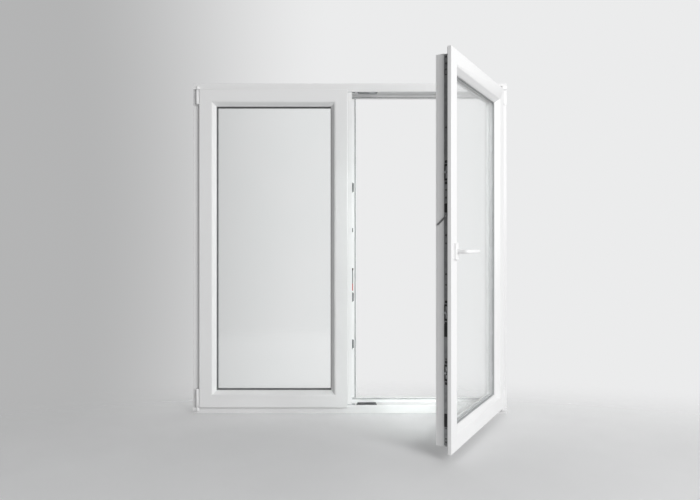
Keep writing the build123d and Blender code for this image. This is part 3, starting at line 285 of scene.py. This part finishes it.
def float_glass(name):
    """Clear float glass that lets the lamps through, with a trace of haze on it."""
    material, tree, shader = new_material(name)
    haze = noise(tree, row_coordinates(tree), 3.0, 4.0, 0.6)
    tone = two_tone(tree, haze, (0.984, 0.992, 0.990), (0.994, 0.998, 0.997))
    tree.links.new(tone, shader.inputs["Base Color"])
    tree.links.new(spread(tree, haze, 0.0, 0.012), shader.inputs["Roughness"])
    shader.inputs["Transmission Weight"].default_value = 1.0
    shader.inputs["IOR"].default_value = 1.45
    clear = tree.nodes.new("ShaderNodeBsdfTransparent")
    clear.inputs["Color"].default_value = (0.97, 0.985, 0.98, 1)
    path = tree.nodes.new("ShaderNodeLightPath")
    mix = tree.nodes.new("ShaderNodeMixShader")
    output = shader.outputs["BSDF"].links[0].to_node
    tree.links.new(path.outputs["Is Shadow Ray"], mix.inputs[0])
    tree.links.new(shader.outputs["BSDF"], mix.inputs[1])
    tree.links.new(clear.outputs["BSDF"], mix.inputs[2])
    tree.links.new(mix.outputs["Shader"], output.inputs["Surface"])
    return material


def pale_floor(name):
    """Pale floor that thins out into the backdrop with distance."""
    material, tree, shader = new_material(name)
    cloud = noise(tree, row_coordinates(tree), 1.2, 4.0, 0.6)
    tone = two_tone(tree, cloud, (0.74, 0.742, 0.745), (0.78, 0.782, 0.785))
    tree.links.new(tone, shader.inputs["Base Color"])
    shader.inputs["Roughness"].default_value = 0.75
    shader.inputs["Specular IOR Level"].default_value = 0.15
    far = tree.nodes.new("ShaderNodeVectorMath")
    far.operation = "DISTANCE"
    tree.links.new(row_coordinates(tree, (0.55, 1.0, 1.0)), far.inputs[0])
    far.inputs[1].default_value = (0.0, -1.2, 0.0)
    fade = tree.nodes.new("ShaderNodeMapRange")
    fade.interpolation_type = "SMOOTHSTEP"
    fade.inputs["From Min"].default_value = 0.7
    fade.inputs["From Max"].default_value = 1.9
    fade.inputs["To Min"].default_value = 1.0
    fade.inputs["To Max"].default_value = 0.0
    tree.links.new(far.outputs["Value"], fade.inputs["Value"])
    tree.links.new(fade.outputs["Result"], shader.inputs["Alpha"])
    return material


X_AXIS, Y_AXIS, Z_AXIS = 0, 1, 2
UPVC_UPRIGHT = upvc("upvc_upright", Z_AXIS)
UPVC_ACROSS = upvc("upvc_across", X_AXIS)
UPVC_ACROSS_OPEN = upvc("upvc_across_open", X_AXIS, -open_angle)
WHITE_COVER = moulded("white_cover_plastic", (0.82, 0.82, 0.82), (0.88, 0.88, 0.88), 0.22, 0.32)
WHITE_LACQUER = moulded(
    "white_lacquer", (0.84, 0.84, 0.84), (0.89, 0.89, 0.89), 0.25, 0.33, grain=1500.0, coat=0.35
)
RED_PLASTIC = moulded("red_plastic", (0.42, 0.03, 0.03), (0.55, 0.05, 0.045), 0.38, 0.5)
BLUE_PLASTIC = moulded("blue_plastic", (0.10, 0.22, 0.42), (0.15, 0.29, 0.50), 0.4, 0.55)
BLACK_PLASTIC = moulded("black_plastic", (0.012, 0.012, 0.013), (0.03, 0.03, 0.032), 0.38, 0.55)
SILVER = ((0.40, 0.41, 0.42), (0.55, 0.56, 0.57), 0.30, 0.46)
SILVER_UPRIGHT = metal("silver_upright", *SILVER, Z_AXIS)
SILVER_ACROSS = metal("silver_across", *SILVER, X_AXIS)
SILVER_OPEN = metal("silver_open", *SILVER, X_AXIS, -open_angle)
GREY_PLATE = metal("grey_plate", (0.16, 0.165, 0.17), (0.25, 0.255, 0.26), 0.36, 0.52, Z_AXIS)
FACEPLATE = metal("grey_faceplate", (0.24, 0.245, 0.25), (0.36, 0.365, 0.37), 0.34, 0.50, Z_AXIS)
DARK_METAL = metal("dark_zinc", (0.045, 0.046, 0.05), (0.09, 0.092, 0.095), 0.38, 0.55, Y_AXIS)
ZINC = zinc("galvanised_steel")
GASKET = rubber("grey_gasket", (0.20, 0.202, 0.205), (0.27, 0.272, 0.275))
LIGHT_GASKET = rubber("light_gasket", (0.36, 0.365, 0.37), (0.46, 0.465, 0.47))
SPACER = metal("warm_edge_spacer", (0.50, 0.51, 0.52), (0.62, 0.63, 0.64), 0.4, 0.55, Z_AXIS)
GLASS = float_glass("float_glass")
FLOOR = pale_floor("pale_floor")

NODE_MATERIALS = {
    UPVC_UPRIGHT: """frame_jamb_left frame_jamb_right passive_hinge_stile passive_meeting_stile
        active_lock_stile active_hinge_stile floating_mullion passive_glazing_beads active_glazing_beads""",
    UPVC_ACROSS: "frame_sill frame_head passive_top_rail passive_bottom_rail",
    UPVC_ACROSS_OPEN: "active_top_rail active_bottom_rail",
    WHITE_COVER: """drain_caps corner_bearings stay_bearings mullion_end_caps passive_hinges
        passive_hinge_covers corner_pivot corner_pivot_cover stay_arm_cover""",
    WHITE_LACQUER: "handle_rosette handle_lever",
    RED_PLASTIC: "passive_lever_grip",
    BLUE_PLASTIC: "passive_glazing_blocks active_glazing_blocks",
    SILVER_UPRIGHT: "mullion_faceplate passive_top_bolt passive_bottom_bolt lock_drive_rod",
    SILVER_ACROSS: "frame_strikers bolt_keepers",
    SILVER_OPEN: "stay_arm top_drive_rod bottom_drive_rod active_corner_hinge corner_drives handle_spindle",
    GREY_PLATE: "mullion_strikers tilt_striker passive_lever",
    FACEPLATE: "active_faceplates guard_lever",
    DARK_METAL: "passive_gear_case gearbox_case drive_pinion",
    ZINC: "frame_reinforcements passive_reinforcements active_reinforcements",
    GASKET: "passive_gaskets",
    LIGHT_GASKET: "active_gaskets mullion_gaskets frame_stop_gasket",
    SPACER: "passive_glass_spacer active_glass_spacer",
    GLASS: "passive_glass_panes active_glass_panes",
}


def paint(obj, material):
    """Gives an object one material."""
    obj.data.materials.clear()
    obj.data.materials.append(material)


def dress_cad_nodes():
    """Materials and softened edges for the CAD nodes that stay visible."""
    sharp = {GLASS, ZINC, GASKET, LIGHT_GASKET, SPACER, BLUE_PLASTIC}
    soft = {WHITE_COVER, WHITE_LACQUER, RED_PLASTIC}
    for material, names in NODE_MATERIALS.items():
        for name in names.split():
            paint(nodes[name], material)
            if material in sharp:
                continue
            weld = nodes[name].modifiers.new("weld", "WELD")
            weld.merge_threshold = 0.00001
            bevel = nodes[name].modifiers.new("soft_edges", "BEVEL")
            bevel.width = SOFT_BEVEL if material in soft else BEVEL
            bevel.segments = 2
            bevel.limit_method = "ANGLE"
            bevel.angle_limit = math.radians(35)
            bevel.harden_normals = False
            bevel.use_clamp_overlap = True


# ---- mesh helpers ----
def finish_mesh(mesh_name, mesh, body, material, matrix=None, smooth=True):
    """Turns a bmesh into an object that rides on a body."""
    bmesh.ops.recalc_face_normals(mesh, faces=mesh.faces)
    data = bpy.data.meshes.new(mesh_name)
    mesh.to_mesh(data)
    mesh.free()
    if matrix is not None:
        data.transform(matrix)
    obj = bpy.data.objects.new(mesh_name, data)
    bpy.context.scene.collection.objects.link(obj)
    for face in data.polygons:
        face.use_smooth = smooth
    paint(obj, material)
    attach(obj, body)
    return obj


def ring(mesh, points):
    """Vertices at a list of points."""
    return [mesh.verts.new(point) for point in points]


def bridge(mesh, first, second):
    """Quads between two closed loops with the same number of vertices."""
    count = len(first)
    for i in range(count):
        j = (i + 1) % count
        mesh.faces.new((first[i], first[j], second[j], second[i]))


def skin(mesh, loops):
    """Closed shape over a row of loops, with flat ends."""
    for first, second in zip(loops, loops[1:]):
        bridge(mesh, first, second)
    mesh.faces.new(loops[0])
    mesh.faces.new(loops[-1])


def circle(mesh, place, radius, height, segments):
    """Loop of vertices round a place's Z axis."""
    angles = [2 * math.pi * i / segments for i in range(segments)]
    return ring(mesh, [place @ Vector((radius * math.cos(a), radius * math.sin(a), height)) for a in angles])


def turned(mesh, profile, place, segments=24):
    """Closed turned shape about a place's Z axis, from (radius, height) pairs, with flat ends."""
    skin(mesh, [circle(mesh, place, radius, height, segments) for radius, height in profile])


def facing(position, normal):
    """Placement whose Z axis points along a normal."""
    turn = Vector(normal).to_track_quat("Z", "Y").to_matrix().to_4x4()
    return Matrix.Translation(Vector(position)) @ turn


def cross_outline(reach, half):
    """Outline of a cross recess as 24 points, starting at angle 0."""
    quarter = [(reach, 0), (reach, half), ((reach + half) / 2, half), (half, half)]
    quarter += [(half, (reach + half) / 2), (half, reach)]
    points = []
    for turn in range(4):
        for x, y in quarter:
            for _ in range(turn):
                x, y = -y, x
            points.append((x, y))
    return points


def screw_head(mesh, place, radius=SCREW_RADIUS):
    """Low domed screw head with a cross recess, standing on a face."""
    rim = [(radius, -SCREW_SINK), (radius, 0.0)]
    rim += [(radius * 0.93, SCREW_DOME * 0.7), (radius * 0.72, SCREW_DOME)]
    mouth = cross_outline(radius * 0.60, radius * 0.14)
    floor = cross_outline(radius * 0.42, radius * 0.10)
    loops = [circle(mesh, place, r, h, len(mouth)) for r, h in rim]
    loops.append(ring(mesh, [place @ Vector((x, y, SCREW_DOME)) for x, y in mouth]))
    loops.append(ring(mesh, [place @ Vector((x, y, -RECESS_DEPTH)) for x, y in floor]))
    skin(mesh, loops)


def screws(name, places, body, material, matrix=None, radius=SCREW_RADIUS):
    """One piece that holds a group of screw heads, given as (position, normal) pairs."""
    mesh = bmesh.new()
    for position, normal in places:
        screw_head(mesh, facing(position, normal), radius)
    return finish_mesh(name, mesh, body, material, matrix, smooth=False)


def rounded_plate(mesh, place, width, height, thickness, corner, hole=None):
    """Plate with rounded corners and a chamfered rim on a place's XY plane.

    hole is the (width, height) of a slot through it, or None.
    """
    def outline(w, h, r):
        """Rounded rectangle as (x, y) pairs."""
        points = []
        for quarter, (right, up) in enumerate(((1, 1), (-1, 1), (-1, -1), (1, -1))):
            centre_x = right * (w / 2 - r)
            centre_y = up * (h / 2 - r)
            for step in range(CORNER_STEPS):
                a = math.pi / 2 * (quarter + step / (CORNER_STEPS - 1))
                points.append((centre_x + r * math.cos(a), centre_y + r * math.sin(a)))
        return points

    def loop(w, h, r, z):
        """Loop of vertices round the plate, at a height above the place."""
        return ring(mesh, [place @ Vector((x, y, z)) for x, y in outline(w, h, r)])

    rim = min(thickness * 0.4, PLATE_RIM)
    loops = [
        loop(width, height, corner, 0.0),
        loop(width, height, corner, thickness - rim),
        loop(width - 2 * rim, height - 2 * rim, corner - rim, thickness),
    ]
    if hole is None:
        skin(mesh, loops)
        return
    slot_end = min(hole) / 2 * 0.98
    loops.append(loop(hole[0], hole[1], slot_end, thickness))
    loops.append(loop(hole[0], hole[1], slot_end, 0.0))
    for first, second in zip(loops, loops[1:] + loops[:1]):
        bridge(mesh, first, second)


# ---- the handle ----
def superellipse(half_width, half_height, power, count=BAR_SEGMENTS):
    """Rounded outline as (across, up) pairs."""
    points = []
    for i in range(count):
        a = 2 * math.pi * i / count
        c, s = math.cos(a), math.sin(a)
        across = half_width * math.copysign(abs(c) ** (2 / power), c)
        points.append((across, half_height * math.copysign(abs(s) ** (2 / power), s)))
    return points


def handle_path(neck_start, bar_depth, bar_end):
    """Stations along the handle: (along, out) place, heading, half thickness, half height, power."""
    stations = []
    bend_start = bar_depth + BEND_RADIUS
    for step in range(NECK_STEPS + 1):
        out = neck_start + (bend_start - neck_start) * step / NECK_STEPS
        stations.append(((0.0, out), math.pi / 2, NECK_RADIUS, NECK_RADIUS, 2.0))
    for step in range(1, BEND_STEPS + 1):
        share = step / BEND_STEPS
        a = share * math.pi / 2
        along = BEND_RADIUS * (1 - math.cos(a))
        out = bend_start - BEND_RADIUS * math.sin(a)
        thick = NECK_RADIUS + (LEVER_THICKNESS / 2 - NECK_RADIUS) * share
        stations.append(((along, out), math.pi / 2 - a, thick, NECK_RADIUS, 2.0 + 0.5 * share))
    straight = bar_end - BEND_RADIUS
    for step in range(1, GRIP_STEPS + 1):
        share = step / GRIP_STEPS
        swell = math.sin(share * math.pi)
        thick = LEVER_THICKNESS / 2 - 0.0008 * share + 0.0006 * swell
        tall = LEVER_HEIGHT / 2 - 0.0012 * share + 0.0004 * swell
        drop = 0.0010 * (1 - swell)
        place = (BEND_RADIUS + straight * share, bar_depth + drop)
        stations.append((place, 0.0, thick, tall, 2.5 + 0.4 * share))
    end_along, end_out = stations[-1][0]
    thick, tall = stations[-1][2], stations[-1][3]
    for step in range(1, END_STEPS + 1):
        a = step / END_STEPS * END_ROUNDING
        place = (end_along + END_CAP * math.sin(a), end_out)
        stations.append((place, 0.0, thick * math.cos(a), tall * math.cos(a), 2.7))
    return stations


def make_handle():
    """Lever handle: a neck that bends into a long, slightly waisted grip."""
    low, high = closed_box("handle_lever")
    rosette_low, rosette_high = closed_box("handle_rosette")
    spindle_x = (rosette_low.x + rosette_high.x) / 2
    middle_z = (low.z + high.z) / 2
    bar_depth = low.y + LEVER_THICKNESS / 2 + 0.0004
    neck_start = rosette_low.y + 0.004
    length = high.x - spindle_x - 0.0062
    mesh = bmesh.new()
    loops = []
    for (along, out), heading, thick, tall, power in handle_path(neck_start, bar_depth, length):
        forward = Vector((math.cos(heading), -math.sin(heading), 0))
        across = Vector((forward.y, -forward.x, 0))
        centre = Vector((spindle_x + along, out, middle_z))
        points = [centre + across * a + Vector((0, 0, u)) for a, u in superellipse(thick, tall, power)]
        loops.append(ring(mesh, points))
    skin(mesh, loops)
    lever = finish_mesh("handle_grip", mesh, "handle", WHITE_LACQUER, TO_REST)
    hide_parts("handle_lever")
    smooth = lever.modifiers.new("smooth", "SUBSURF")
    smooth.levels = 1
    smooth.render_levels = 1


def make_rosette_collar():
    """Turned collar round the handle's neck, on the rosette."""
    low, high = closed_box("handle_rosette")
    centre = Vector(((low.x + high.x) / 2, low.y + 0.0002, (low.z + high.z) / 2))
    place = facing(centre, (0, -1, 0))
    mesh = bmesh.new()
    profile = [(0.0116, -0.001), (0.0116, 0.0008), (0.0111, 0.0018), (0.0102, 0.0024), (0.0093, 0.0024)]
    profile += [(0.0089, 0.0018), (0.0089, -0.001)]
    loops = [circle(mesh, place, radius, height, COLLAR_SEGMENTS) for radius, height in profile]
    for first, second in zip(loops, loops[1:] + loops[:1]):
        bridge(mesh, first, second)
    finish_mesh("rosette_collar", mesh, "active_sash", WHITE_LACQUER, TO_REST)


# ---- hardware details on the open leaf ----
def lock_edge(z, proud=0.0):
    """Placement on the lock side's faceplate, with its Z axis away from the leaf."""
    low, high = closed_box("active_faceplates")
    return facing((low.x - proud, (low.y + high.y) / 2, z), (-1, 0, 0))


def make_faceplate_screws():
    """Cross-head screws that hold the three faceplates in their groove."""
    low, high = closed_box("active_faceplates")
    middle_y = (low.y + high.y) / 2
    places = [((low.x, middle_y, z), (-1, 0, 0)) for z in PLATE_SCREW_HEIGHTS]
    for inset in END_INSETS:
        places.append(((low.x + inset, middle_y, high.z), (0, 0, 1)))
        places.append(((low.x + inset, middle_y, low.z), (0, 0, -1)))
    screws("faceplate_screws", places, "active_sash", BLACK_PLASTIC, TO_REST)


def make_cam_guides():
    """Black guides round the cams' slots in the lock side's faceplate, with their fixing clips."""
    mesh = bmesh.new()
    for z in CAM_HEIGHTS:
        rounded_plate(mesh, lock_edge(z), *CAM_GUIDE, hole=CAM_SLOT)
        for side in (-1, 1):
            rounded_plate(mesh, lock_edge(z + side * CLIP_OFFSET), *GUIDE_CLIP)
    rounded_plate(mesh, lock_edge(CORNER_SCREW_HEIGHT), *CORNER_OVAL, hole=CORNER_SLOT)
    finish_mesh("cam_guides", mesh, "active_sash", BLACK_PLASTIC, TO_REST, smooth=False)


def make_sash_lifters():
    """Black toothed run-up blocks, which lift the leaf as it closes."""
    mesh = bmesh.new()
    for z in LIFTER_HEIGHTS:
        rounded_plate(mesh, lock_edge(z), *LIFTER_PLATE)
        for step in range(LIFTER_TEETH):
            tooth_z = z + TOOTH_PITCH * (step - (LIFTER_TEETH - 1) / 2)
            rounded_plate(mesh, lock_edge(tooth_z, TOOTH_RISE), *LIFTER_TOOTH)
    finish_mesh("sash_lifters", mesh, "active_sash", BLACK_PLASTIC, TO_REST, smooth=False)


def make_guard_housing():
    """Black housing of the guard lever's spring, with the lever's rivet."""
    guard_low, guard_high = closed_box("guard_lever")
    pivot_z = guard_high.z - GUARD_PIVOT_INSET
    mesh = bmesh.new()
    rounded_plate(mesh, lock_edge(pivot_z + HOUSING_RISE), *SPRING_HOUSING)
    finish_mesh(
        "guard_spring_housing", mesh, "active_sash", BLACK_PLASTIC, TO_REST, smooth=False
    )
    mesh = bmesh.new()
    profile = [(0.0026, -0.0004), (0.0026, 0.0003), (0.0020, 0.0008), (0.0009, 0.0010)]
    rivet = lock_edge(pivot_z)
    rivet.translation.x = guard_low.x
    turned(mesh, profile, rivet)
    finish_mesh("guard_rivet", mesh, "guard", SILVER_UPRIGHT, TO_REST)


def make_striker_screws():
    """Screws of the strikers on the mullion, in the head and in the sill."""
    low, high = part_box("mullion_strikers")
    places = []
    for z in CAM_HEIGHTS:
        for side in (-1, 1):
            screw_z = z + side * STRIKER_SCREW_OFFSET
            places.append(((low.x + STRIKER_BASE, (low.y + high.y) / 2, screw_z), (1, 0, 0)))
    body, material, slot = "passive_sash", BLACK_PLASTIC, "dark_hardware"
    screws("mullion_striker_screws", places, body, material, radius=MULLION_SCREW_RADIUS)
    places = []
    for node, up in (("tilt_striker", 1), ("frame_strikers", -1)):
        low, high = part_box(node)
        base_z = low.z + STRIKER_BASE if up > 0 else high.z - STRIKER_BASE
        for x in (low.x + STRIKER_SCREW_INSET, high.x - STRIKER_SCREW_INSET):
            places.append(((x, (low.y + high.y) / 2, base_z), (0, 0, up)))
    screws("frame_striker_screws", places, "frame", material, radius=FRAME_SCREW_RADIUS)


def make_keeper_screws():
    """Screws of the shoot bolts' keepers."""
    low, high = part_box("bolt_keepers")
    middle_y = (low.y + high.y) / 2
    places = []
    rise = KEEPER_THICKNESS - KEEPER_SCREW_SINK
    for z, up in ((low.z + rise, 1), (high.z - rise, -1)):
        for x in (low.x + KEEPER_SCREW_INSET, high.x - KEEPER_SCREW_INSET):
            places.append(((x, middle_y, z), (0, 0, up)))
    screws("keeper_screws", places, "frame", SILVER_ACROSS, radius=KEEPER_SCREW_RADIUS)


def make_fixing_caps():
    """White caps in the wall fixings' holes, in the jambs' rebates."""
    mesh = bmesh.new()
    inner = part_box("frame_jamb_right")[1].x - REBATE_HEIGHT
    profile = [(0.0038, -0.0030), (0.0038, 0.0), (0.0058, 0.0001), (0.0056, 0.0008), (0.0040, 0.0012)]
    for side in (-1, 1):
        for z in FIXING_HEIGHTS:
            turned(mesh, profile, facing((side * inner, 0.0, z), (-side, 0, 0)))
    finish_mesh("fixing_caps", mesh, "frame", WHITE_COVER)


def make_hinge_details():
    """Hexagon adjusters below the corner bearings and above the stay bearings."""
    mesh = bmesh.new()
    profile = [(0.0042, -0.0010), (0.0042, 0.0002), (0.0036, 0.0008), (0.0022, 0.0008)]
    for z, up in ((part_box("corner_bearings")[0].z, -1), (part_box("stay_bearings")[1].z, 1)):
        for x in (-HINGE_X, HINGE_X):
            turned(mesh, profile, facing((x, HINGE_Y, z), (0, 0, up)), 6)
    finish_mesh("hinge_adjusters", mesh, "frame", SILVER_ACROSS, smooth=False)


# ---- stage, light and camera ----
def make_floor():
    """Round pale floor."""
    mesh = bmesh.new()
    mesh.faces.new(circle(mesh, Matrix.Identity(4), FLOOR_RADIUS, -FLOOR_DROP, FLOOR_SEGMENTS))
    data = bpy.data.meshes.new("floor")
    mesh.to_mesh(data)
    mesh.free()
    floor = bpy.data.objects.new("floor", data)
    bpy.context.scene.collection.objects.link(floor)
    paint(floor, FLOOR)


def world_ramp(tree, value, start, end, low, high):
    """Smooth change of a value's range into another."""
    node = tree.nodes.new("ShaderNodeMapRange")
    node.interpolation_type = "SMOOTHSTEP"
    node.inputs["From Min"].default_value = start
    node.inputs["From Max"].default_value = end
    node.inputs["To Min"].default_value = low
    node.inputs["To Max"].default_value = high
    tree.links.new(value, node.inputs["Value"])
    return node.outputs["Result"]


def make_world():
    """Soft pale studio: a backdrop that darkens to the left and low down, and a dim room in front."""
    world = bpy.data.worlds.new("studio")
    bpy.context.scene.world = world
    world.use_nodes = True
    tree = world.node_tree
    tree.nodes.clear()
    output = tree.nodes.new("ShaderNodeOutputWorld")
    background = tree.nodes.new("ShaderNodeBackground")
    place = tree.nodes.new("ShaderNodeTexCoord")
    parts = tree.nodes.new("ShaderNodeSeparateXYZ")
    tree.links.new(place.outputs["Generated"], parts.inputs["Vector"])
    across = world_ramp(tree, parts.outputs["X"], -0.42, -0.02, 0.46, 0.84)
    down = world_ramp(tree, parts.outputs["Z"], -0.50, -0.20, 0.72, 1.0)
    backdrop = tree.nodes.new("ShaderNodeMath")
    backdrop.operation = "MULTIPLY"
    tree.links.new(across, backdrop.inputs[0])
    tree.links.new(down, backdrop.inputs[1])
    room = world_ramp(tree, parts.outputs["X"], -0.8, 0.8, 0.22, 0.46)
    mix = tree.nodes.new("ShaderNodeMix")
    tree.links.new(world_ramp(tree, parts.outputs["Y"], -0.1, 0.45, 0.0, 1.0), mix.inputs["Factor"])
    tree.links.new(room, mix.inputs["A"])
    tree.links.new(backdrop.outputs["Value"], mix.inputs["B"])
    background.inputs["Color"].default_value = (0.992, 0.996, 1.0, 1)
    tree.links.new(mix.outputs["Result"], background.inputs["Strength"])
    tree.links.new(background.outputs["Background"], output.inputs["Surface"])


def area_light(name, position, aim, size, power):
    """Soft square light aimed at a point, unseen by the camera and through glass."""
    light = bpy.data.lights.new(name, "AREA")
    light.shape = "SQUARE"
    light.size = size
    light.energy = power
    obj = bpy.data.objects.new(name, light)
    obj.location = position
    obj.rotation_mode = "QUATERNION"
    obj.rotation_quaternion = (Vector(aim) - Vector(position)).to_track_quat("-Z", "Y")
    obj.visible_camera = False
    obj.visible_transmission = False
    bpy.context.scene.collection.objects.link(obj)


def make_light():
    """One large soft light from the right, in front of the window."""
    area_light("key", KEY_PLACE, KEY_AIM, KEY_SIZE, KEY_POWER)


def make_camera():
    """Camera in front of the window, a little above its middle, looking straight out."""
    data = bpy.data.cameras.new("camera")
    data.sensor_width = 36.0
    data.lens = CAMERA_LENS
    data.shift_y = CAMERA_SHIFT
    camera = bpy.data.objects.new("camera", data)
    camera.location = (0.0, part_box("frame_sill")[0].y - CAMERA_DISTANCE, CAMERA_HEIGHT)
    camera.rotation_euler = (math.pi / 2, 0, 0)
    bpy.context.scene.collection.objects.link(camera)
    bpy.context.scene.camera = camera


bpy.context.scene.view_settings.view_transform = "Standard"
make_camera()
make_world()
make_light()
make_floor()
dress_cad_nodes()
make_handle()
make_rosette_collar()
make_faceplate_screws()
make_cam_guides()
make_sash_lifters()
make_guard_housing()
make_striker_screws()
make_keeper_screws()
make_fixing_caps()
make_hinge_details()
